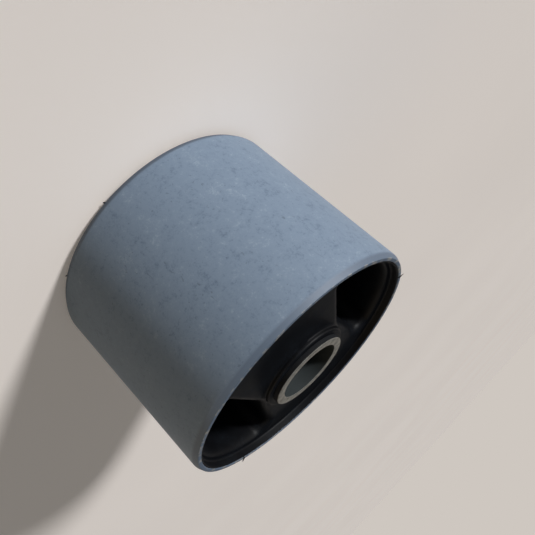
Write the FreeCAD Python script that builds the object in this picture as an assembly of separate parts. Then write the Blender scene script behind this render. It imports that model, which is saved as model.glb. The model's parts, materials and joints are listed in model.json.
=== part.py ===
"""A rubber-metal cab bushing: a plain steel outer sleeve, a thick steel inner sleeve and one
rubber moulding bonded between them. The rubber holds the inner sleeve on two flared spokes, and
the two open voids beside them make the bushing soft across and stiff along the spokes.

Frame: millimetres, origin in the middle of the bore at mid length, +Z along the bore, the
spokes along +Y and -Y, the voids along +X and -X.
"""
import FreeCAD, Part
import math
import os

from FreeCAD import Vector

# Outer sleeve
sleeve_diameter = 85.0
sleeve_length = 63.0
sleeve_wall = 2.0
sleeve_lead_length = 1.7
sleeve_lead_depth = 0.8
sleeve_mouth_break = 0.25

# Inner sleeve
core_diameter = 26.6
core_wall = 3.05
core_standout = 1.25
core_edge_break = 0.35
core_mouth_break = 0.45

# Rubber lining of the outer sleeve: a thin tapered lip at each end, the full thickness inside
lip_recess = 0.2
lip_thickness = 0.5
lip_root_thickness = 1.0
lip_edge_radius = 0.2
lip_root_radius = 0.4
lining_thickness = 1.8

# Rubber collar round the inner sleeve
collar_thickness = 2.0
collar_recess = 0.25
collar_edge_radius = 0.7

# Rubber spokes: their sides, drawn on to mid width, pass this far outside the collar, and each
# face depth is measured from the outer sleeve's end
spoke_side_gap = 1.3
spoke_flare_degrees = 10.2
spoke_root_radius = 4.0
face_depth_at_core = 2.15
face_depth_at_lip = 2.8

# Each void rounds past the collar by this radius, and its mouth is rounded too
void_waist_radius = 16.0
void_mouth_radius = 2.5

# A corner's arc takes at most this share of each straight run beside it
corner_share = 0.49

# A face counts as a wall along the bore, or as an end face, by the part of its normal along the bore
wall_slope = 0.1
end_face_slope = 0.9

# Radii and heights that follow from the sizes above
sleeve_radius = sleeve_diameter / 2
bond_radius = sleeve_radius - sleeve_wall
lining_radius = bond_radius - lining_thickness
core_radius = core_diameter / 2
bore_radius = core_radius - core_wall
collar_radius = core_radius + collar_thickness
lip_root = bond_radius - lip_root_thickness
sleeve_end = sleeve_length / 2
core_end = sleeve_end + core_standout


def corner_arc(before, corner, after, radius):
    """The tangent points and the middle of the arc that rounds one corner of an outline."""
    back = before - corner
    ahead = after - corner
    half_angle = back.getAngle(ahead) / 2
    longest_reach = corner_share * min(back.Length, ahead.Length)
    reach = min(radius / math.tan(half_angle), longest_reach)
    radius = reach * math.tan(half_angle)
    back.normalize()
    ahead.normalize()
    bisector = (back + ahead).normalize()
    middle = corner + bisector * (radius / math.sin(half_angle) - radius)
    return corner + back * reach, middle, corner + ahead * reach


def rounded_outline(corners):
    """A closed face in the XZ plane through corners (x, z, radius), each rounded by its radius."""
    points = [Vector(x, 0, z) for x, z, radius in corners]
    edges = []
    ends = []
    for index, (x, z, radius) in enumerate(corners):
        if radius > 0:
            before = points[index - 1]
            after = points[(index + 1) % len(points)]
            start, middle, end = corner_arc(before, points[index], after, radius)
            edges.append(Part.Arc(start, middle, end).toShape())
        else:
            start = end = points[index]
        ends.append((start, end))
    for index, (start, end) in enumerate(ends):
        following = ends[(index + 1) % len(ends)][0]
        edges.append(Part.makeLine(end, following))
    return Part.Face(Part.Wire(Part.__sortEdges__(edges)))


def mirrored(top_corners):
    """The corners of a section that is the same at both ends, from those of its upper half."""
    return top_corners + [(x, -z, radius) for x, z, radius in reversed(top_corners)]


def turned(top_corners):
    """A solid of revolution about the bore from the upper half of its section."""
    section = rounded_outline(mirrored(top_corners))
    return section.revolve(Vector(0, 0, 0), Vector(0, 0, 1), 360)


def make_outer_sleeve():
    """A steel tube with a lead-in taper outside each end and a broken edge inside."""
    return turned([
        (bond_radius, sleeve_end - sleeve_mouth_break, 0),
        (bond_radius + sleeve_mouth_break, sleeve_end, 0),
        (sleeve_radius - sleeve_lead_depth, sleeve_end, 0),
        (sleeve_radius, sleeve_end - sleeve_lead_length, 0),
    ])


def make_inner_sleeve():
    """A thick steel tube that stands out of the rubber at both ends, edges broken."""
    return turned([
        (bore_radius, core_end - core_mouth_break, 0),
        (bore_radius + core_mouth_break, core_end, 0),
        (core_radius - core_edge_break, core_end, 0),
        (core_radius, core_end - core_edge_break, 0),
    ])


def make_rubber_blank():
    """The rubber before its voids and collar: lip and flat end face, turned as one."""
    return turned([
        (core_radius, sleeve_end - face_depth_at_core, 0),
        (lip_root, sleeve_end - face_depth_at_lip, lip_root_radius),
        (bond_radius - lip_thickness, sleeve_end - lip_recess, lip_edge_radius),
        (bond_radius, sleeve_end - lip_recess, 0),
    ])


def make_collar():
    """The rubber collar round the inner sleeve, standing out of the spokes at both ends."""
    return turned([
        (core_radius, sleeve_end - collar_recess, 0),
        (collar_radius, sleeve_end - collar_recess, collar_edge_radius),
    ])


def make_void():
    """The open void on the +X side, through both ends.

    An arc rounds it past the collar, each of its two sides leaves that arc at the spoke's flare, and
    an arc at each root leads from the side into the lining.
    """
    flare = math.radians(spoke_flare_degrees)
    along = Vector(math.sin(flare), math.cos(flare), 0)
    inward = Vector(math.cos(flare), -math.sin(flare), 0)
    apex = Vector(collar_radius + spoke_side_gap, 0, 0)
    waist_centre = apex + Vector(void_waist_radius / math.cos(flare), 0, 0)
    side_start = waist_centre - inward * void_waist_radius
    offset = apex.x * math.cos(flare) + spoke_root_radius
    run = math.sqrt((lining_radius - spoke_root_radius) ** 2 - offset ** 2)
    centre = inward * offset + along * run
    side_end = centre - inward * spoke_root_radius
    lining_start = centre * (lining_radius / centre.Length)
    outward = (side_end - centre).normalize() + (lining_start - centre).normalize()
    root_middle = centre + outward.normalize() * spoke_root_radius
    waist_middle = waist_centre - Vector(void_waist_radius, 0, 0)
    upper = [side_start, side_end, root_middle, lining_start]
    lower = [Vector(point.x, -point.y, 0) for point in upper]
    outline = Part.Wire([
        Part.makeLine(upper[0], upper[1]),
        Part.Arc(*upper[1:]).toShape(),
        Part.Arc(upper[3], Vector(lining_radius, 0, 0), lower[3]).toShape(),
        Part.Arc(*reversed(lower[1:])).toShape(),
        Part.makeLine(lower[1], lower[0]),
        Part.Arc(lower[0], waist_middle, upper[0]).toShape(),
    ])
    prism = Part.Face(outline).extrude(Vector(0, 0, 2 * core_end))
    prism.translate(Vector(0, 0, -core_end))
    return prism


def is_mouth_edge(body, edge):
    """Whether an edge lies between an end face of the rubber and the wall of a void."""
    middle = edge.valueAt((edge.FirstParameter + edge.LastParameter) / 2)
    if not collar_radius < math.hypot(middle.x, middle.y) < lip_root:
        return False
    slopes = []
    for face in body.ancestorsOfType(edge, Part.Face):
        u, v = face.Surface.parameter(middle)
        slopes.append(abs(face.normalAt(u, v).z))
    return min(slopes) < wall_slope and max(slopes) > end_face_slope


def make_rubber_body():
    """Lining, spokes and collar, moulded in one and bonded to both sleeves."""
    void = make_void()
    opposite = void.copy()
    opposite.rotate(Vector(0, 0, 0), Vector(0, 0, 1), 180)
    body = make_rubber_blank().cut([void, opposite]).removeSplitter()
    mouth_edges = [edge for edge in body.Edges if is_mouth_edge(body, edge)]
    rounded = body.makeFillet(void_mouth_radius, mouth_edges)
    return rounded.fuse(make_collar()).removeSplitter()


def write_part(name, shape):
    """Write one node as a STEP file and print its volume and how sound it is."""
    solids = shape.Solids
    part = solids[0] if len(solids) == 1 else shape
    part.exportStep("parts/" + name + ".step")
    print(name, "solids", len(solids), "valid", part.isValid(), "cm3", round(part.Volume / 1000, 2))


os.makedirs("parts", exist_ok=True)
write_part("outer_sleeve", make_outer_sleeve())
write_part("inner_sleeve", make_inner_sleeve())
write_part("rubber_body", make_rubber_body())
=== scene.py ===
"""The looks of a rubber-metal cab bushing: a phosphated steel outer sleeve, a bare steel inner
sleeve and the black rubber moulding between them, standing on end on a plain pale floor.

All lengths are in metres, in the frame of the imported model: +Z along the bore, the rubber spokes
along +Y and -Y, the voids along +X and -X.
"""
import json
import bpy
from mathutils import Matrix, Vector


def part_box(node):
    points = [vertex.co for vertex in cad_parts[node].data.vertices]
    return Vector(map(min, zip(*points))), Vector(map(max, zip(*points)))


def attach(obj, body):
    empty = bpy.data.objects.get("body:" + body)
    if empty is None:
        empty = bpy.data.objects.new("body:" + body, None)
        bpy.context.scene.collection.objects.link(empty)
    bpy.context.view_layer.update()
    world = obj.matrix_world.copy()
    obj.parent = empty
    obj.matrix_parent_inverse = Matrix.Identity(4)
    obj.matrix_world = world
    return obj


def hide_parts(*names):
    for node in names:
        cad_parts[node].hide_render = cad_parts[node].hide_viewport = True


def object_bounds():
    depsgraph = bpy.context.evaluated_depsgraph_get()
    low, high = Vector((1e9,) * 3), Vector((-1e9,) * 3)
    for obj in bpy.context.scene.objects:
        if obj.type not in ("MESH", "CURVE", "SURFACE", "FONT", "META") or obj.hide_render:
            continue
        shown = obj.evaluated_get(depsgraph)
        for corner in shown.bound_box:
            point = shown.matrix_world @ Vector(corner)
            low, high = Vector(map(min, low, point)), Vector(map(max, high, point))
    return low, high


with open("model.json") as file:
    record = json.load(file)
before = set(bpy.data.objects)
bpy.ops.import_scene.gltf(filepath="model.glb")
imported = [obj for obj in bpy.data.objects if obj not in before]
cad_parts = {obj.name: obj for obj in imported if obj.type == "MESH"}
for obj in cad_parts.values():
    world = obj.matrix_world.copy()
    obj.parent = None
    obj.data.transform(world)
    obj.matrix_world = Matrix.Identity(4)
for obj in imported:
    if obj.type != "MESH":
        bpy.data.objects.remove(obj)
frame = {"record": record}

from types import SimpleNamespace

import bmesh
import bpy
import numpy as np
from bpy.props import FloatProperty, FloatVectorProperty, IntProperty, PointerProperty
from mathutils import Matrix, Vector

bl_info = {
    "name": "Cab Bushing",
    "version": (1, 0, 0),
    "blender": (4, 5, 0),
    "location": "3D View > Sidebar > Cab Bushing",
    "description": "Dresses a rubber-metal cab bushing and sets its stage",
    "category": "Object",
}

MM = 0.001
SHARP_ANGLE = np.radians(40)
MERGE_DISTANCE = 1e-7

SLEEVE_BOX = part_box("outer_sleeve")
CORE_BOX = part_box("inner_sleeve")
RUBBER_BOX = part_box("rubber_body")
BORE_RADIUS = next(m["dims"]["r_mm"] for m in frame["record"]["mounts"] if m["name"] == "bolt_bore") * MM
CAD_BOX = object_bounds()

# How finely the rubber is drawn: lines ruled across the end face, one group for each run of the
# void's outline, then points along each line, in each rounded corner, and along and round a nib.
WAIST_LINES = 6
COLLAR_SIDE_LINES = 19
SPOKE_SIDE_LINES = 15
INNER_ROOT_LINES = 7
OUTER_ROOT_LINES = 29
LINING_LINES = 24
EDGE_STEPS = 12
FACE_STEPS = 19
ARC_STEPS = 8
NIB_STEPS = 16
NIB_SIDES = 12
# Points in each rounded corner of the outer sleeve's section and of the inner sleeve's.
OUTER_ARC_STEPS = 10
INNER_ARC_STEPS = 8

# Where the lip's foot lies, as a part of its rounding's radius in from the wall.
FOOT_SHARE = 0.96
# The ends of the lines to the collar crowd towards +X by this power of their way along the outline.
COLLAR_CROWDING = 1.3
# The edge's rounding takes at most this part of a line.
EDGE_SHARE = 0.6

# The dim card starts and is full at these heights, and is full and gone at these angles from its
# middle. The bright panel's sides fade from this angle inside its width to as much outside. The
# last three go by the sine of the height: the fades at the panel's foot and head, and the sheet's.
CARD_START, CARD_FULL = np.radians((11, 15))
CARD_INNER, CARD_OUTER = np.radians((45, 70))
PANEL_FADE = np.radians(14)
PANEL_FOOT = 0.2
PANEL_HEAD = 0.1
OVERHEAD_FADE = 0.2
# Linear colours of the key light and of the cool light from all round.
WHITE = (1, 1, 1)
SKY_TINT = (0.92, 0.96, 1.0)


# Colours, nodes and meshes

def linear_colour(hex_code):
    """Linear RGB of an sRGB hex colour: c / 12.92 up to 0.04045, ((c + 0.055) / 1.055) ^ 2.4 above."""
    channels = np.array([int(hex_code[i:i + 2], 16) for i in (1, 3, 5)]) / 255
    return tuple(np.where(channels <= 0.04045, channels / 12.92, ((channels + 0.055) / 1.055) ** 2.4))


def length(name, description, millimetres):
    """A length that a user can change, shown in the scene's units."""
    return FloatProperty(name=name, description=description, default=millimetres * MM, min=0,
                         unit="LENGTH", subtype="DISTANCE", precision=5)


def angle(name, description, degrees):
    """An angle that a user can change, shown in degrees."""
    return FloatProperty(name=name, description=description, default=np.radians(degrees),
                         unit="ROTATION", subtype="ANGLE")


def colour(name, description, hex_code):
    """A colour that a user can change."""
    return FloatVectorProperty(name=name, description=description, default=linear_colour(hex_code),
                               min=0, max=1, size=3, subtype="COLOR")


def factor(name, description, default, top=1.0):
    """A plain number that a user can change."""
    return FloatProperty(name=name, description=description, default=default, min=0, max=top)


def add_node(tree, kind, inputs=None, **settings):
    """Add a node with its settings, and give each named or numbered input a value or a link."""
    node = tree.nodes.new(kind)
    for name, value in settings.items():
        setattr(node, name, value)
    for name, value in (inputs or {}).items():
        if isinstance(value, bpy.types.NodeSocket):
            tree.links.new(value, node.inputs[name])
        else:
            node.inputs[name].default_value = value
    return node


def opaque(colour_value):
    """A colour with full alpha, as node sockets hold it."""
    return (*colour_value, 1.0)


def new_material(name):
    """A material with its node tree emptied down to an output, and object coordinates to start from."""
    material = bpy.data.materials.new(name)
    material.use_nodes = True
    tree = material.node_tree
    tree.nodes.clear()
    output = tree.nodes.new("ShaderNodeOutputMaterial")
    place = tree.nodes.new("ShaderNodeTexCoord").outputs["Object"]
    return material, tree, output, place


def noise(tree, place, size, detail=2.0, roughness=0.5, distortion=0.0):
    """A noise between 0 and 1 whose grains are about size metres across."""
    return add_node(tree, "ShaderNodeTexNoise", {
        "Vector": place, "Scale": 1 / size, "Detail": detail, "Roughness": roughness,
        "Distortion": distortion,
    }).outputs["Fac"]


def remap(tree, value, low, high, to_low=0.0, to_high=1.0):
    """The value carried smoothly from one range to another, and held at its ends."""
    return add_node(tree, "ShaderNodeMapRange", {
        "Value": value, "From Min": low, "From Max": high, "To Min": to_low, "To Max": to_high,
    }, interpolation_type="SMOOTHSTEP").outputs["Result"]


def maths(tree, operation, first, second=0.0, third=0.0):
    """One operation on up to three values."""
    return add_node(tree, "ShaderNodeMath", {0: first, 1: second, 2: third},
                    operation=operation).outputs["Value"]


def blend(tree, share, first, second):
    """Two colours mixed by a share."""
    return add_node(tree, "ShaderNodeMix", {0: share, 6: first, 7: second},
                    data_type="RGBA").outputs[2]


def seen_share(tree):
    """1 for the rays that show the floor and backdrop to the eye, straight or in a reflection."""
    path = tree.nodes.new("ShaderNodeLightPath").outputs
    return maths(tree, "MAXIMUM", path["Is Camera Ray"],
                 maths(tree, "MAXIMUM", path["Is Glossy Ray"], path["Is Transmission Ray"]))


def quads(rows, columns, ring=False):
    """The faces of a grid of rows by columns points, its last row joined to its first in a ring."""
    index = np.arange(rows * columns).reshape(rows, columns)
    if ring:
        index = np.vstack([index, index[:1]])
    corners = [index[:-1, :-1], index[1:, :-1], index[1:, 1:], index[:-1, 1:]]
    return np.stack(corners, axis=-1).reshape(-1, 4)


def joined(patches):
    """One list of points and one of faces from grids given as (points, faces)."""
    all_points, all_faces = zip(*patches)
    starts = np.cumsum([0] + [len(points) for points in all_points[:-1]])
    faces = np.vstack([faces + start for faces, start in zip(all_faces, starts)])
    return np.vstack(all_points), faces


def add_piece(name, points, faces, material, slot=None):
    """A smooth closed mesh from points and faces, its doubles merged and its faces turned outwards."""
    mesh = bpy.data.meshes.new(name)
    mesh.from_pydata(points, [], faces)
    shell = bmesh.new()
    shell.from_mesh(mesh)
    bmesh.ops.remove_doubles(shell, verts=shell.verts, dist=MERGE_DISTANCE)
    bmesh.ops.recalc_face_normals(shell, faces=shell.faces)
    shell.to_mesh(mesh)
    shell.free()
    mesh.shade_smooth()
    mesh.set_sharp_from_angle(angle=SHARP_ANGLE)
    mesh.materials.append(material)
    piece = bpy.data.objects.new(name, mesh)
    bpy.context.scene.collection.objects.link(piece)
    if slot:
        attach(piece, "root")
    return piece


def rounded_section(corners, steps):
    """A closed section through corners (r, z, radius), in metres.

    Each corner is an arc of its radius that leaves the two straight runs at radius / tan(half the
    corner's angle) from it, with its points at even turns about the arc's centre.
    """
    corners = np.array(corners)
    points = corners[:, :2]
    radii = corners[:, 2:]
    back = np.roll(points, 1, axis=0) - points
    ahead = np.roll(points, -1, axis=0) - points
    back /= np.linalg.norm(back, axis=1, keepdims=True)
    ahead /= np.linalg.norm(ahead, axis=1, keepdims=True)
    half = np.arccos(np.sum(back * ahead, axis=1, keepdims=True)) / 2
    bisector = (back + ahead) / np.linalg.norm(back + ahead, axis=1, keepdims=True)
    centres = points + bisector * radii / np.sin(half)
    start = points + back * radii / np.tan(half) - centres
    end = points + ahead * radii / np.tan(half) - centres
    first = np.arctan2(start[:, 1], start[:, 0])
    turn = np.arctan2(end[:, 1], end[:, 0]) - first
    turn = (turn + np.pi) % (2 * np.pi) - np.pi
    angles = first[:, None] + turn[:, None] * np.linspace(0, 1, steps)
    arcs = np.stack([np.cos(angles), np.sin(angles)], axis=-1)
    return (centres[:, None] + arcs * radii[:, None]).reshape(-1, 2)


def turned(section, turns):
    """The grid of a closed section (r, z) carried round the bore: (r cos a, r sin a, z)."""
    around = np.linspace(0, 2 * np.pi, turns, endpoint=False)[:, None]
    section = np.vstack([section, section[:1]])
    r, z = section.T
    heights = np.broadcast_to(z, (turns, len(z)))
    points = np.stack([r * np.cos(around), r * np.sin(around), heights], -1)
    return points.reshape(-1, 3), quads(turns, len(z), ring=True)


def both_ends(top_corners):
    """A section that is the same at both ends, from the corners of its upper half."""
    return top_corners + [(r, -z, radius) for r, z, radius in reversed(top_corners)]


# What a user may change

class BushingOuterSleeve(bpy.types.PropertyGroup):
    """Sizes and finish of the steel outer sleeve."""
    radius: FloatProperty(name="Radius", description="Outside radius of the sleeve",
                          default=SLEEVE_BOX[1][0], unit="LENGTH", subtype="DISTANCE")
    half_length: FloatProperty(name="Half length", description="From mid length to the sleeve's end",
                               default=SLEEVE_BOX[1][2], unit="LENGTH", subtype="DISTANCE")
    wall: length("Wall", "Thickness of the sleeve", 2.0)
    lead_length: length("Lead-in length", "Length of the taper at each end", 1.7)
    lead_depth: length("Lead-in depth", "How far the taper goes into the wall", 0.8)
    shoulder_radius: length("Shoulder radius", "Rounding where the taper starts", 2.2)
    rim_radius: length("Rim radius", "Rounding of the outer rim edge", 0.22)
    mouth_radius: length("Mouth radius", "Rounding of the inner rim edge", 0.25)
    turns: IntProperty(name="Facets", description="Facets round the sleeve", default=256, min=16)
    coat: colour("Phosphate", "Blue-grey zinc phosphate coat", "#8294A9")
    coat_dark: colour("Phosphate, thin", "Darker crystals and thin places", "#607288")
    coat_light: colour("Phosphate, thick", "Lighter crystals", "#A6B4C4")
    # This colour is painted shade: it darkens the tapers at the ends, and is not a darker coat.
    lead_in_painted_shade: colour("Lead-in", "Coat rubbed darker on the tapers", "#586678")
    mark: colour("Scuffs", "Dark handling marks", "#4E5B69")
    bare: colour("Bare rim", "Steel that shows through at the rim", "#B9B7B1")


class BushingInnerSleeve(bpy.types.PropertyGroup):
    """Sizes and finish of the thick steel inner sleeve."""
    radius: FloatProperty(name="Radius", description="Outside radius of the inner sleeve",
                          default=CORE_BOX[1][0], unit="LENGTH", subtype="DISTANCE")
    half_length: FloatProperty(name="Half length", description="From mid length to the end face",
                               default=CORE_BOX[1][2], unit="LENGTH", subtype="DISTANCE")
    bore_radius: FloatProperty(name="Bore radius", description="Radius of the bolt's bore",
                               default=BORE_RADIUS, unit="LENGTH", subtype="DISTANCE")
    edge_radius: length("Edge radius", "Rounding of the outer edge", 0.35)
    mouth_radius: length("Mouth radius", "Rounding of the bore's mouth", 0.4)
    turns: IntProperty(name="Facets", description="Facets round the sleeve", default=192, min=16)
    steel: colour("Steel", "Faced steel of the end rings", "#E2DCCF")
    steel_dull: colour("Dull steel", "Steel gone dull", "#B5AFA2")
    tarnish: colour("Tarnish", "Brown specks of tarnish", "#7A6448")
    # The bore's colour is dark phosphate, made darker still as painted shade in the deep bore.
    bore: colour("Bore", "Dark phosphate left in the bore", "#2E3334")
    side: colour("Side", "Bonding cement on the sleeve's side", "#121417")


class BushingRubber(bpy.types.PropertyGroup):
    """Sizes and finish of the rubber moulding."""
    bond_radius: FloatProperty(name="Bond radius", description="Where the rubber meets the outer sleeve",
                               default=RUBBER_BOX[1][0], unit="LENGTH", subtype="DISTANCE")
    lip_top: FloatProperty(name="Lip top", description="From mid length to the lip's edge",
                           default=RUBBER_BOX[1][2], unit="LENGTH", subtype="DISTANCE")
    lip_thickness: length("Lip thickness", "Rubber on the sleeve at the lip's edge", 0.5)
    lip_root_thickness: length("Lip root thickness", "Rubber on the sleeve at the lip's root", 0.6)
    lip_root_radius: length("Lip root radius", "Rounding at the lip's root", 0.8)
    lip_edge_radius: length("Lip edge radius", "Rounding of the lip's edge", 0.2)
    lining: length("Lining", "Thickness of the rubber lining in the voids", 2.9)
    collar_radius: length("Collar radius", "Outside radius of the rubber round the inner sleeve", 15.3)
    collar_top: length("Collar top", "From mid length to the collar's top", 31.25)
    collar_edge_radius: length("Collar edge radius", "Rounding of the collar's top edge", 0.75)
    collar_foot_width: length("Collar foot width", "How far the collar's foot spreads on the spokes", 1.6)
    collar_foot_height: length("Collar foot height", "How far the foot climbs the collar", 0.7)
    face_at_collar: length("Face height at the collar", "From mid length to the spoke's face", 29.3)
    face_at_lip: length("Face height at the lip", "From mid length to the spoke's face", 28.7)
    spoke_half_width: length("Spoke half width", "From the middle to the spoke's sides, drawn on", 16.6)
    waist_radius: length("Waist radius", "Rounding of the void beside the collar", 16)
    root_radius: length("Root radius", "Rounding between a spoke's side and the lining", 4)
    mouth_radius: length("Mouth radius", "Rounding of the spokes' edges", 2.5)
    lining_mouth_width: length("Lining mouth width", "How far the lining's mouth tapers out", 1.3)
    lining_mouth_depth: length("Lining mouth depth", "How far down the lining's mouth tapers", 4.0)
    edge_fade_start: angle("Edge fade", "Where on the root the edge's rounding starts to shrink", 90)
    flare: angle("Flare", "Angle of a spoke's side to the spoke's middle line", 10.2)
    rubber: colour("Rubber", "Black of the moulded rubber", "#08090C")
    bloom: colour("Bloom", "Dust and bloom on the rubber", "#14181D")


class BushingFlash(bpy.types.PropertyGroup):
    """The thin rubber nibs that the mould left at the rims."""
    root: length("Root", "Radius where a nib leaves the lip", 40.3)
    reach: length("Reach", "How far an upper nib stands out from its root", 2.3)
    lower_reach: length("Lower reach", "How far a lower nib stands out from its root", 1.75)
    width: length("Width", "A nib at its fullest is 0.67 of this wide", 1.2)
    thickness: length("Thickness", "A nib at its fullest is 0.67 of this thick", 0.35)
    height: length("Height", "From mid length to a nib's middle", 31.7)
    sink: length("Sink", "How far below that a nib leaves the lip", 0.7)
    bend: factor("Bend", "Part of the way over which a nib rises out of the lip", 0.2)
    upper: FloatVectorProperty(name="Upper nibs", description="Where the upper rim's nibs are, from +X",
                               default=np.radians((173.6, 31.8)), size=2, unit="ROTATION")
    lower: FloatVectorProperty(name="Lower nibs", description="Where the lower rim's nibs are, from +X",
                               default=np.radians((315.6, 279.4)), size=2, unit="ROTATION")


class BushingStage(bpy.types.PropertyGroup):
    """Floor, lights and camera."""
    backdrop: colour("Backdrop", "Pale backdrop low behind the floor", "#CEC7C0")
    floor: colour("Floor", "Pale floor", "#FBF3ED")
    floor_lift: factor("Floor lift", "Glow that pales the floor as the eye sees it", 0.2)
    floor_bounce: colour("Floor bounce", "The floor as the object's own lighting meets it", "#4C473F")
    floor_size: length("Floor size", "Half the side of the floor", 6000)
    key_strength: factor("Key", "Light that the key gives a surface facing it", 1.0, 10)
    key_heading: angle("Key heading", "From +X round to the key", 213)
    key_height: angle("Key height", "Of the key above the floor", 24)
    key_spread: angle("Key spread", "Size of the key as the object sees it", 9)
    sky_strength: factor("Sky", "Light from all round", 0.085, 10)
    ceiling: colour("Ceiling", "Dim card above the backdrop, behind the object", "#222326")
    ceiling_heading: angle("Ceiling heading", "From +X round to the dim card's middle", 91)
    overhead: colour("Overhead", "Grey sheet overhead", "#66717E")
    overhead_start: angle("Overhead start", "Height where the grey sheet overhead starts", 34)
    window: colour("Window", "Soft bright panel on the key's side", "#E0E5EB")
    window_heading: angle("Window heading", "From +X round to the window's middle", 222)
    window_width: angle("Window width", "How much of the horizon the window takes", 64)
    window_top: angle("Window top", "Height of the window's top", 60)
    bounce_strength: factor("Bounce", "Warm light from the side away from the key", 0.13, 10)
    bounce_heading: angle("Bounce heading", "From +X round to the bounce", 350)
    bounce_height: angle("Bounce height", "Of the bounce above the floor", 6)
    bounce_spread: angle("Bounce spread", "Size of the bounce as the object sees it", 60)
    bounce_tint: colour("Bounce tint", "Warm pale card", "#FFDA90")
    lens: FloatProperty(name="Lens", description="Focal length on a 36 mm sensor", default=40.107,
                        unit="CAMERA")
    distance: factor("Distance", "Camera to the upper rim's centre, in outside radii", 4.2613, 100)
    height: angle("Height", "Of the camera above the upper end", 13.77)
    heading: angle("Heading", "From +X round to the camera", 271.4)
    aim_side: factor("Aim side", "The aim's way to the left of the axis, in outside radii", 0.3412, 10)
    aim_drop: factor("Aim drop", "The aim's way below the upper rim, in outside radii", 0.7535, 10)
    roll: angle("Roll", "Of the camera about its line of sight", 132.15)


# Materials

def phosphated_steel(finish, half_length, lead_length):
    """Zinc-phosphated drawn steel tube: a matt blue-grey coat of fine crystals, with painted shade
    darkening the tapers at the ends, a few handling scuffs, and bare steel glinting along the rim."""
    material, tree, output, place = new_material("zinc_phosphated_drawn_steel")
    # Crystals of about 0.02 mm are too fine to show, so they are drawn as the 0.5 and 1.6 mm mottle
    # that the coat shows from arm's length, on 6 mm clouds where the bath left it thicker.
    grain = noise(tree, place, 0.5 * MM, 3.0, 0.65)
    mottle = noise(tree, place, 1.6 * MM, 3.0, 0.6)
    cloud = noise(tree, place, 6 * MM, 4.0, 0.6)
    tone = maths(tree, "MULTIPLY_ADD", grain, 0.35, maths(tree, "MULTIPLY", mottle, 0.35))
    tone = maths(tree, "MULTIPLY_ADD", cloud, 0.3, tone)
    coat = blend(tree, remap(tree, tone, 0.3, 0.5), opaque(finish.coat_dark), opaque(finish.coat))
    coat = blend(tree, remap(tree, tone, 0.52, 0.75), coat, opaque(finish.coat_light))
    # Dark specks of 0.9 mm: soot and oil caught in the coat.
    speck = remap(tree, noise(tree, place, 0.9 * MM, 1.0), 0.70, 0.78)
    coat = blend(tree, maths(tree, "MULTIPLY", speck, 0.45), coat, opaque(finish.mark))
    # Handling scuffs: short streaks of about 1.3 by 3.7 mm, few and far between.
    streak = noise(tree, add_node(tree, "ShaderNodeVectorMath", {0: place, 1: (1.0, 1.0, 0.35)},
                                  operation="MULTIPLY").outputs["Vector"], 1.3 * MM, 2.0, 0.6, 0.8)
    scuff = maths(tree, "MULTIPLY", remap(tree, streak, 0.64, 0.72),
                  remap(tree, noise(tree, place, 11 * MM, 1.0), 0.55, 0.68))
    coat = blend(tree, maths(tree, "MULTIPLY", scuff, 0.55), coat, opaque(finish.mark))
    steps = add_node(tree, "ShaderNodeSeparateXYZ", {"Vector": place})
    height = maths(tree, "ABSOLUTE", steps.outputs["Z"])
    # The tapers are darkened as painted shade, and the rim's very edge is worn through to bare steel in
    # places.
    taper = half_length - lead_length
    taper_painted_shade = remap(tree, height, taper - 0.6 * MM, taper + 0.5 * MM)
    coat = blend(tree, maths(tree, "MULTIPLY", taper_painted_shade, 0.9), coat, opaque(finish.lead_in_painted_shade))
    worn = remap(tree, height, half_length - 0.22 * MM, half_length - 0.02 * MM)
    patchy = remap(tree, noise(tree, place, 2.5 * MM, 4.0, 0.6), 0.5, 0.68)
    bare = maths(tree, "MULTIPLY", worn, patchy)
    shader = add_node(tree, "ShaderNodeBsdfPrincipled", {
        "Base Color": blend(tree, bare, coat, opaque(finish.bare)),
        "Metallic": maths(tree, "MULTIPLY_ADD", bare, 0.85, 0.05),
        "Roughness": maths(tree, "MULTIPLY_ADD", tone, 0.2, 0.48),
        "IOR": 1.59,
        "Normal": add_node(tree, "ShaderNodeBump", {
            "Height": tone, "Strength": 0.25, "Distance": 0.05 * MM}).outputs["Normal"],
    })
    tree.links.new(shader.outputs["BSDF"], output.inputs["Surface"])
    return material


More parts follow.
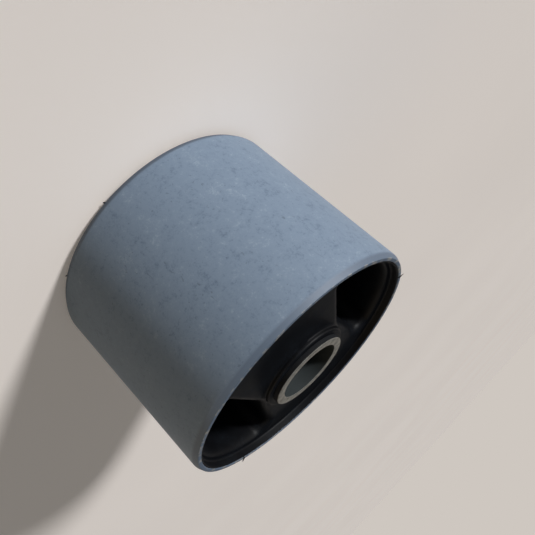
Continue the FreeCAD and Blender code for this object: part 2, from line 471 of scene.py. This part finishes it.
def faced_steel(finish, radius, bore_radius):
    """Machined steel: end rings faced bright in a lathe, gone a little dull and specked brown, and a dark
    phosphated bore, its colour made darker still as painted shade."""
    material, tree, output, place = new_material("faced_steel")
    steps = add_node(tree, "ShaderNodeSeparateXYZ", {"Vector": place})
    flat = add_node(tree, "ShaderNodeCombineXYZ", {0: steps.outputs["X"], 1: steps.outputs["Y"]})
    out = add_node(tree, "ShaderNodeVectorMath", {0: flat.outputs["Vector"]},
                   operation="LENGTH").outputs["Value"]
    # The lathe's feed marks are about 0.1 mm apart; they are drawn 0.25 mm apart to show at all.
    across = add_node(tree, "ShaderNodeCombineXYZ", {0: out}).outputs["Vector"]
    feed = noise(tree, across, 0.25 * MM, 1.0)
    # Dull patches of 2.2 mm and brown tarnish specks of 1.1 mm break up the shine.
    dull = noise(tree, place, 2.2 * MM, 4.0, 0.6)
    steel = blend(tree, remap(tree, dull, 0.35, 0.68), opaque(finish.steel), opaque(finish.steel_dull))
    steel = blend(tree, maths(tree, "MULTIPLY", feed, 0.25), steel, opaque(finish.steel_dull))
    stain = remap(tree, noise(tree, place, 1.1 * MM, 3.0, 0.7), 0.60, 0.70)
    steel = blend(tree, maths(tree, "MULTIPLY", stain, 0.7), steel, opaque(finish.tarnish))
    # The bore takes the bore colour, dark phosphate darkened further as painted shade; the side takes the
    # side colour.
    inside = remap(tree, out, bore_radius + 0.28 * MM, bore_radius + 0.1 * MM)
    outside = remap(tree, out, radius - 0.2 * MM, radius - 0.02 * MM)
    coated = maths(tree, "MAXIMUM", inside, outside)
    coat = blend(tree, outside, opaque(finish.bore), opaque(finish.side))
    shader = add_node(tree, "ShaderNodeBsdfPrincipled", {
        "Base Color": blend(tree, coated, steel, coat),
        "Metallic": maths(tree, "SUBTRACT", 1.0, coated),
        "Roughness": maths(tree, "MULTIPLY_ADD", coated, 0.35,
                           maths(tree, "MULTIPLY_ADD", dull, 0.3, 0.3)),
        "Specular IOR Level": maths(tree, "MULTIPLY_ADD", coated, -0.3, 0.5),
        "Normal": add_node(tree, "ShaderNodeBump", {
            "Height": feed, "Strength": 0.3, "Distance": 0.02 * MM}).outputs["Normal"],
    })
    tree.links.new(shader.outputs["BSDF"], output.inputs["Surface"])
    return material


def moulded_rubber(finish):
    """Press-moulded natural rubber, carbon black filled: near black and satin, with a thin uneven
    bloom that greys it and dulls its gloss in patches."""
    material, tree, output, place = new_material("moulded_black_rubber")
    # The bloom lies in 7 mm patches, broken up by 0.6 mm dust, and only just lifts the black.
    bloom = noise(tree, place, 7 * MM, 4.0, 0.6, 0.4)
    dust = noise(tree, place, 0.6 * MM, 2.0, 0.6)
    share = maths(tree, "MULTIPLY", remap(tree, bloom, 0.4, 0.7), remap(tree, dust, 0.35, 0.75))
    shader = add_node(tree, "ShaderNodeBsdfPrincipled", {
        "Base Color": blend(tree, share, opaque(finish.rubber), opaque(finish.bloom)),
        "Roughness": maths(tree, "MULTIPLY_ADD", bloom, 0.2, 0.4),
        "IOR": 1.52,
        "Specular IOR Level": 0.12,
        "Normal": add_node(tree, "ShaderNodeBump", {
            "Height": dust, "Strength": 0.15, "Distance": 0.03 * MM}).outputs["Normal"],
    })
    tree.links.new(shader.outputs["BSDF"], output.inputs["Surface"])
    return material


# The rubber's shape

def rounding(reach, width, drop):
    """The drop of a rounded edge at a way in from the wall: drop (1 - sqrt(1 - (1 - d / width)^2)),
    which is a quarter of an ellipse, and 0 past its width."""
    inward = np.clip(1 - reach / width, 0, 1)
    return drop * (1 - np.sqrt(1 - inward ** 2))


def smooth_share(value, low, high):
    """0 below low, 1 above high, and a smooth rise 3 t^2 - 2 t^3 between them."""
    t = np.clip((value - low) / (high - low), 0, 1)
    return t * t * (3 - 2 * t)


def turn_points(turns):
    """Points (cos t, sin t) of the unit circle."""
    return np.stack([np.cos(turns), np.sin(turns)], -1)


def void_lines(s):
    """The lines and circles that bound one void, in the quarter where x and y are positive.

    An arc rounds the void's waist beside the collar, a straight side leaves it at the spoke's flare,
    and the root arc joins the side to the lining's circle.
    """
    along = np.array([np.sin(s.flare), np.cos(s.flare)])
    inward = np.array([np.cos(s.flare), -np.sin(s.flare)])
    lining_radius = s.bond_radius - s.lining
    side = s.spoke_half_width * np.cos(s.flare)
    waist = np.array([s.spoke_half_width + s.waist_radius / np.cos(s.flare), 0])
    offset = side + s.root_radius
    run = np.sqrt((lining_radius - s.root_radius) ** 2 - offset ** 2)
    return SimpleNamespace(
        along=along, inward=inward, side=side, waist=waist, run=run, lining_radius=lining_radius,
        centre=inward * offset + along * run,
        lip_foot=s.bond_radius - s.lip_root_thickness - FOOT_SHARE * s.lip_root_radius)


def cone(s, v, r):
    """Height of the end face at a radius, straight from the collar to the lip's foot."""
    way = (r - s.collar_radius) / (v.lip_foot - s.collar_radius)
    return s.face_at_collar + (s.face_at_lip - s.face_at_collar) * way


def end_lines(s, v):
    """The lines that the rubber's end face is ruled from: each starts on the void's outline and
    ends on the collar, on the spoke's middle line or on the lip's foot, mostly square to the
    outline. Returns both ends, the width and depth of the mouth's rounding at each line, and the
    numbers of the lines at which the outline's waist, side inside the collar's height, side and
    inner root stop.
    """
    flare, centre, rho = s.flare, v.centre, s.root_radius
    first, corner = v.waist @ v.along, s.collar_radius
    waist_turns = np.linspace(np.pi, np.pi - flare, WAIST_LINES)
    side_in = np.linspace(first, corner, COLLAR_SIDE_LINES + 1)[1:]
    side_out = np.linspace(corner, v.run, SPOKE_SIDE_LINES + 1)[1:]
    lip_turn = np.arctan2(v.lip_foot - centre[1], -centre[0])
    root_end = np.arctan2(centre[1], centre[0])
    root_in = np.linspace(np.pi - flare, lip_turn, INNER_ROOT_LINES + 1)[1:]
    root_out = np.linspace(lip_turn, root_end, OUTER_ROOT_LINES + 1)[1:]
    lining = np.linspace(root_end, 0, LINING_LINES + 1)[1:]
    root = np.concatenate([root_in, root_out])
    starts = np.vstack([
        v.waist + s.waist_radius * turn_points(waist_turns),
        v.inward * v.side + v.along * np.concatenate([side_in, side_out])[:, None],
        centre + rho * turn_points(root),
        v.lining_radius * turn_points(lining)])
    way = np.concatenate([first * np.linspace(0, 1, WAIST_LINES), side_in]) / corner
    middle = np.concatenate([
        corner + (side_out - corner) * (v.run / np.cos(flare) - corner) / (v.run - corner),
        centre[1] + centre[0] * np.tan(np.pi - root_in)])
    ray = turn_points(root_out)
    ahead = ray @ centre
    reach = np.sqrt(ahead ** 2 + v.lip_foot ** 2 - centre @ centre) - ahead
    ends = np.vstack([
        s.collar_radius * turn_points(np.pi / 2 * way ** COLLAR_CROWDING),
        np.stack([np.zeros_like(middle), middle], -1),
        centre + ray * reach[:, None],
        v.lip_foot * turn_points(lining)])
    spoke_lines = len(way) + len(side_out)
    share = np.concatenate([
        np.zeros(spoke_lines),
        smooth_share(-root, -s.edge_fade_start, -root_end),
        np.ones(len(lining))])
    width = s.mouth_radius + (s.lining_mouth_width - s.mouth_radius) * share
    depth = s.mouth_radius + (s.lining_mouth_depth - s.mouth_radius) * share
    breaks = (WAIST_LINES, len(way), spoke_lines, spoke_lines + len(root_in))
    return starts, ends, width, depth, breaks


def end_face(s, v, starts, ends, width, depth, breaks):
    """Points of the end face over two parameters: the line, and the way along it.

    The height is the cone from collar to lip, less the rounding of the void's edge, plus the collar's
    foot. The rounding goes by the distance from the outline's own circle or line.
    """
    span = ends - starts
    size = np.hypot(*span.T)[:, None]
    mouth = np.minimum(width[:, None], EDGE_SHARE * size)
    edge = mouth * (1 - np.cos(np.linspace(0, np.pi / 2, EDGE_STEPS)))
    rest = mouth + (size - mouth) * (1 - np.cos(np.linspace(0, np.pi, FACE_STEPS + 1)[1:])) / 2
    points = starts[:, None] + span[:, None] * (np.hstack([edge, rest]) / size)[..., None]
    points[breaks[1] - 1:breaks[3], -1, 0] = 0
    x, y = points[..., 0], points[..., 1]
    r = np.hypot(x, y)
    lines = np.arange(len(starts))[:, None]
    from_waist = np.hypot(x - v.waist[0], y) - s.waist_radius
    from_side = v.side - (x * v.inward[0] + y * v.inward[1])
    from_root = np.hypot(x - v.centre[0], y - v.centre[1]) - s.root_radius
    along = [lines < breaks[0], lines < breaks[2], lines < len(starts) - LINING_LINES]
    reach = np.select(along, [from_waist, from_side, from_root], r - v.lining_radius)
    foot = rounding(r - s.collar_radius, s.collar_foot_width, s.collar_foot_height)
    z = cone(s, v, r) - rounding(np.maximum(reach, 0), width[:, None], depth[:, None]) + foot
    return np.dstack([points, z])


def carried(turns, profile, first_height, fade):
    """A profile (r, z) carried round the turns, its first points moved to the end face's height by
    a share that fades along the profile."""
    r, z = profile.T
    height = z + (first_height[:, None] - z[0]) * fade
    return np.dstack([r * np.cos(turns)[:, None], r * np.sin(turns)[:, None], height])


def rubber_quarter(s):
    """The grids of one quarter of the rubber's upper half: the end face, the void's wall under its
    outline, the lip from its foot to mid length, and the collar from its foot to mid length."""
    v = void_lines(s)
    starts, ends, width, depth, breaks = end_lines(s, v)
    face = end_face(s, v, starts, ends, width, depth, breaks)
    wall = np.stack([face[:, 0]] * 3, axis=1)
    wall[..., 2] *= np.array([1, 0.5, 0])
    to_lip = slice(breaks[3] - 1, None)
    to_collar = slice(0, breaks[1])
    lip_turns = np.arctan2(ends[to_lip, 1], ends[to_lip, 0])
    collar_turns = np.arctan2(ends[to_collar, 1], ends[to_collar, 0])
    # Only the lip's two arcs are kept from this section, and its other corners close it. The foot,
    # where the end face ends, stands in for the first arc's start.
    arcs = rounded_section([
        (s.bond_radius - s.lip_root_thickness, s.face_at_lip, s.lip_root_radius),
        (s.bond_radius - s.lip_thickness, s.lip_top, s.lip_edge_radius),
        (s.bond_radius, s.lip_top, 0),
        (s.bond_radius, 0, 0),
        (v.lip_foot - 10 * MM, s.face_at_lip, 0),
    ], ARC_STEPS)[1:2 * ARC_STEPS]
    lip = np.vstack([
        [v.lip_foot, s.face_at_lip], arcs, [s.bond_radius, s.lip_top], [s.bond_radius, 0]])
    lip_fade = np.concatenate([np.linspace(1, 0, ARC_STEPS), np.zeros(len(lip) - ARC_STEPS)])
    bend = turn_points(np.linspace(0, np.pi / 2, ARC_STEPS)) * s.collar_edge_radius
    edge = np.array([s.collar_radius, s.collar_top]) - s.collar_edge_radius + bend
    core = bpy.context.scene.bushing_inner_sleeve.radius
    foot_top = s.face_at_collar + s.collar_foot_height
    collar = np.vstack([[s.collar_radius, foot_top], edge, [core, s.collar_top], [core, 0]])
    collar_fade = np.concatenate([[1], np.zeros(len(collar) - 1)])
    return [
        face, wall,
        carried(lip_turns, lip, face[to_lip, -1, 2], lip_fade),
        carried(collar_turns, collar, face[to_collar, -1, 2], collar_fade),
    ]


def mirrored_eightfold(grids):
    """Grids of one eighth of a body, given in all eight, as points and faces."""
    patches = []
    for signs in np.array(np.meshgrid([1, -1], [1, -1], [1, -1])).reshape(3, -1).T:
        patches += [((grid * signs).reshape(-1, 3), quads(*grid.shape[:2])) for grid in grids]
    return joined(patches)


def nib(s, heading, reach, end):
    """One flash nib over two parameters: the way t from root to tip, and the turn round its section.

    The section is an ellipse. Its width and thickness both go as 1.6 sqrt(t) (1 - t)^0.8, which is
    0.67 at its fullest. The middle line rises out of the lip, runs over the rim and, by t^2, turns
    aside a quarter of the width and lifts half the thickness. The end is 1 above and -1 below.
    """
    t = (1 - np.cos(np.linspace(0, np.pi, NIB_STEPS))) / 2
    around = np.linspace(0, 2 * np.pi, NIB_SIDES, endpoint=False)[:, None]
    size = 1.6 * np.sqrt(t) * (1 - t) ** 0.8
    out = s.root + reach * t + 0 * around
    across = s.width / 2 * size * np.cos(around) + 0.25 * s.width * t ** 2
    middle = s.height - s.sink * np.clip(1 - t / s.bend, 0, 1) ** 2 + 0.5 * s.thickness * t ** 2
    up = middle + s.thickness / 2 * size * np.sin(around)
    x = out * np.cos(heading) - across * np.sin(heading)
    y = out * np.sin(heading) + across * np.cos(heading)
    points = np.stack([x, y, end * up], -1).reshape(-1, 3)
    return points, quads(len(around), len(t), ring=True)


# Operators and panel

class BushingOperator:
    """What the bushing's operators share."""
    bl_options = {"REGISTER", "UNDO"}


class OBJECT_OT_bushing_outer_sleeve(BushingOperator, bpy.types.Operator):
    """Turn the steel outer sleeve"""
    bl_idname = "object.bushing_outer_sleeve"
    bl_label = "Outer Sleeve"

    def execute(self, context):
        s = context.scene.bushing_outer_sleeve
        bond = s.radius - s.wall
        section = rounded_section(both_ends([
            (bond, s.half_length, s.mouth_radius),
            (s.radius - s.lead_depth, s.half_length, s.rim_radius),
            (s.radius, s.half_length - s.lead_length, s.shoulder_radius),
        ]), OUTER_ARC_STEPS)
        material = phosphated_steel(s, s.half_length, s.lead_length)
        sleeve = add_piece("outer_sleeve_tube", *turned(section, s.turns), material, "phosphated_steel")
        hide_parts("outer_sleeve")
        return {"FINISHED"}


class OBJECT_OT_bushing_inner_sleeve(BushingOperator, bpy.types.Operator):
    """Turn the thick steel inner sleeve"""
    bl_idname = "object.bushing_inner_sleeve"
    bl_label = "Inner Sleeve"

    def execute(self, context):
        s = context.scene.bushing_inner_sleeve
        section = rounded_section(both_ends([
            (s.bore_radius, s.half_length, s.mouth_radius),
            (s.radius, s.half_length, s.edge_radius),
        ]), INNER_ARC_STEPS)
        material = faced_steel(s, s.radius, s.bore_radius)
        sleeve = add_piece("inner_sleeve_tube", *turned(section, s.turns), material, "bare_steel")
        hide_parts("inner_sleeve")
        return {"FINISHED"}


class OBJECT_OT_bushing_rubber(BushingOperator, bpy.types.Operator):
    """Mould the rubber between the sleeves"""
    bl_idname = "object.bushing_rubber"
    bl_label = "Rubber"

    def execute(self, context):
        s = context.scene.bushing_rubber
        body = add_piece("rubber_moulding", *mirrored_eightfold(rubber_quarter(s)), moulded_rubber(s),
                         "black_rubber")
        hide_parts("rubber_body")
        return {"FINISHED"}


class OBJECT_OT_bushing_flash(BushingOperator, bpy.types.Operator):
    """Leave the mould's thin rubber nibs at the rims"""
    bl_idname = "object.bushing_flash"
    bl_label = "Flash"

    def execute(self, context):
        s = context.scene.bushing_flash
        material = bpy.data.materials["moulded_black_rubber"]
        patches = [nib(s, turn, s.reach, 1) for turn in s.upper]
        patches += [nib(s, turn, s.lower_reach, -1) for turn in s.lower]
        add_piece("rubber_flash", *joined(patches), material, "black_rubber")
        return {"FINISHED"}


class OBJECT_OT_bushing_stage(BushingOperator, bpy.types.Operator):
    """Set the floor, the lights and the camera"""
    bl_idname = "object.bushing_stage"
    bl_label = "Stage"

    def execute(self, context):
        s = context.scene.bushing_stage
        self.add_floor(s)
        self.add_sky(s)
        self.add_sun("key", s.key_strength, s.key_heading, s.key_height, s.key_spread, WHITE)
        self.add_sun("bounce", s.bounce_strength, s.bounce_heading, s.bounce_height, s.bounce_spread,
                     s.bounce_tint)
        self.add_camera(s)
        return {"FINISHED"}

    def add_floor(self, s):
        """A flat square under the object, which the eye sees as pale as the backdrop and which gives
        the object's own lighting less."""
        ways = s.floor_size * np.array([-1, 1])
        x, y = np.meshgrid(ways, ways, indexing="ij")
        points = np.stack([x, y, np.full_like(x, CAD_BOX[0][2])], -1).reshape(-1, 3)
        material, tree, output, place = new_material("matt_pale_board")
        # The board's own pulp shows as faint clouds of about 0.2 m.
        cloud = remap(tree, noise(tree, place, 0.2, 2.0), 0.3, 0.7, 0.96, 1.0)
        shade = blend(tree, cloud, (0, 0, 0, 1), opaque(s.floor))
        seen = seen_share(tree)
        board = add_node(tree, "ShaderNodeBsdfDiffuse", {
            "Color": blend(tree, seen, opaque(s.floor_bounce), shade)})
        lift = add_node(tree, "ShaderNodeEmission", {
            "Color": opaque(s.backdrop), "Strength": maths(tree, "MULTIPLY", seen, s.floor_lift)})
        shader = add_node(tree, "ShaderNodeAddShader", {0: board.outputs[0], 1: lift.outputs[0]})
        tree.links.new(shader.outputs[0], output.inputs["Surface"])
        floor = add_piece("floor", points, quads(2, 2), material)
        if floor.data.polygons[0].normal.z < 0:
            floor.data.flip_normals()

    def add_sky(self, s):
        """A world that the eye sees, straight or in a reflection, as a pale backdrop with a dim card
        behind the object, a grey sheet overhead and a bright panel on the key's side. It lights the
        rest weakly and evenly."""
        world = bpy.data.worlds.new("studio")
        world.use_nodes = True
        tree = world.node_tree
        tree.nodes.clear()
        way = add_node(tree, "ShaderNodeSeparateXYZ", {
            "Vector": tree.nodes.new("ShaderNodeTexCoord").outputs["Generated"]}).outputs
        height = way["Z"]
        level = add_node(tree, "ShaderNodeCombineXYZ", {0: way["X"], 1: way["Y"]})
        level = add_node(tree, "ShaderNodeVectorMath", {0: level.outputs["Vector"]},
                         operation="NORMALIZE").outputs["Vector"]
        card = maths(tree, "MULTIPLY",
                     self.towards(tree, level, s.ceiling_heading, CARD_OUTER, CARD_INNER),
                     remap(tree, height, np.sin(CARD_START), np.sin(CARD_FULL)))
        wall = blend(tree, card, opaque(s.backdrop), opaque(s.ceiling))
        start = np.sin(s.overhead_start)
        overhead = remap(tree, height, start, start + OVERHEAD_FADE)
        wall = blend(tree, overhead, wall, opaque(s.overhead))
        half = s.window_width / 2
        window = maths(tree, "MULTIPLY",
                       self.towards(tree, level, s.window_heading, half + PANEL_FADE, half - PANEL_FADE),
                       remap(tree, height, 0.0, PANEL_FOOT))
        top = np.sin(s.window_top)
        window = maths(tree, "MULTIPLY", window, remap(tree, height, top, top - PANEL_HEAD))
        wall = blend(tree, window, wall, opaque(s.window))
        backdrop = add_node(tree, "ShaderNodeBackground", {"Color": wall, "Strength": 1.0})
        sky = add_node(tree, "ShaderNodeBackground", {
            "Color": opaque(SKY_TINT), "Strength": s.sky_strength})
        shader = add_node(tree, "ShaderNodeMixShader", {
            0: seen_share(tree), 1: sky.outputs[0], 2: backdrop.outputs[0]})
        output = tree.nodes.new("ShaderNodeOutputWorld")
        tree.links.new(shader.outputs[0], output.inputs["Surface"])
        bpy.context.scene.world = world

    def towards(self, tree, level, heading, outer, inner):
        """A share of 1 within the inner angle of a heading, falling to 0 at the outer one."""
        middle = (np.cos(heading), np.sin(heading), 0)
        facing = add_node(tree, "ShaderNodeVectorMath", {0: level, 1: middle},
                          operation="DOT_PRODUCT").outputs["Value"]
        return remap(tree, facing, np.cos(outer), np.cos(inner))

    def add_sun(self, name, strength, heading, height, spread, tint):
        """A soft lamp far off: a surface that faces it is as bright as its colour times strength."""
        lamp = bpy.data.lights.new(name, "SUN")
        lamp.energy = strength * np.pi
        lamp.angle = spread
        lamp.color = tint
        sun = bpy.data.objects.new(name, lamp)
        level = np.cos(height)
        towards = Vector((np.cos(heading) * level, np.sin(heading) * level, np.sin(height)))
        sun.rotation_euler = towards.to_track_quat("Z", "Y").to_euler()
        bpy.context.scene.collection.objects.link(sun)

    def add_camera(self, s):
        """The photograph's camera: it looks past the upper end's rim at the sleeve's side, rolled
        so that the bore points down and right."""
        radius = bpy.context.scene.bushing_outer_sleeve.radius
        rim = Vector((0, 0, bpy.context.scene.bushing_outer_sleeve.half_length))
        away = Vector((np.cos(s.heading), np.sin(s.heading), 0))
        side = Vector((-away.y, away.x, 0))
        line = away * float(np.cos(s.height)) + Vector((0, 0, np.sin(s.height)))
        place = rim + line * radius * s.distance
        aim = rim - (side * s.aim_side + Vector((0, 0, s.aim_drop))) * radius
        forward = (aim - place).normalized()
        level = forward.cross(Vector((0, 0, 1))).normalized()
        upright = level.cross(forward)
        right = level * float(np.cos(s.roll)) + upright * float(np.sin(s.roll))
        up = right.cross(forward)
        turn = Matrix((right, up, -forward)).transposed().to_4x4()
        data = bpy.data.cameras.new("camera")
        data.lens = s.lens
        data.clip_start = 10 * MM
        camera = bpy.data.objects.new("camera", data)
        camera.matrix_world = Matrix.Translation(place) @ turn
        bpy.context.scene.collection.objects.link(camera)
        bpy.context.scene.camera = camera


class VIEW3D_PT_bushing(bpy.types.Panel):
    """The bushing's operators and their settings"""
    bl_label = "Cab Bushing"
    bl_space_type = "VIEW_3D"
    bl_region_type = "UI"
    bl_category = "Cab Bushing"

    def draw(self, context):
        for operator, group in STEPS:
            box = self.layout.box()
            box.operator(operator.bl_idname)
            settings = getattr(context.scene, group)
            for name in settings.__annotations__:
                box.prop(settings, name)


GROUPS = {
    "bushing_outer_sleeve": BushingOuterSleeve,
    "bushing_inner_sleeve": BushingInnerSleeve,
    "bushing_rubber": BushingRubber,
    "bushing_flash": BushingFlash,
    "bushing_stage": BushingStage,
}
STEPS = [
    (OBJECT_OT_bushing_outer_sleeve, "bushing_outer_sleeve"),
    (OBJECT_OT_bushing_inner_sleeve, "bushing_inner_sleeve"),
    (OBJECT_OT_bushing_rubber, "bushing_rubber"),
    (OBJECT_OT_bushing_flash, "bushing_flash"),
    (OBJECT_OT_bushing_stage, "bushing_stage"),
]


def register():
    """Register the settings, the operators and the panel."""
    for name, group in GROUPS.items():
        bpy.utils.register_class(group)
        setattr(bpy.types.Scene, name, PointerProperty(type=group))
    for operator, group in STEPS:
        bpy.utils.register_class(operator)
    bpy.utils.register_class(VIEW3D_PT_bushing)


def unregister():
    """Take away what register added."""
    bpy.utils.unregister_class(VIEW3D_PT_bushing)
    for operator, group in STEPS:
        bpy.utils.unregister_class(operator)
    for name, group in GROUPS.items():
        delattr(bpy.types.Scene, name)
        bpy.utils.unregister_class(group)


def main():
    """Build every piece and the stage."""
    register()
    bpy.context.scene.view_settings.view_transform = "Standard"
    bpy.ops.object.bushing_outer_sleeve()
    bpy.ops.object.bushing_inner_sleeve()
    bpy.ops.object.bushing_rubber()
    bpy.ops.object.bushing_flash()
    bpy.ops.object.bushing_stage()


if __name__ == "__main__":
    main()
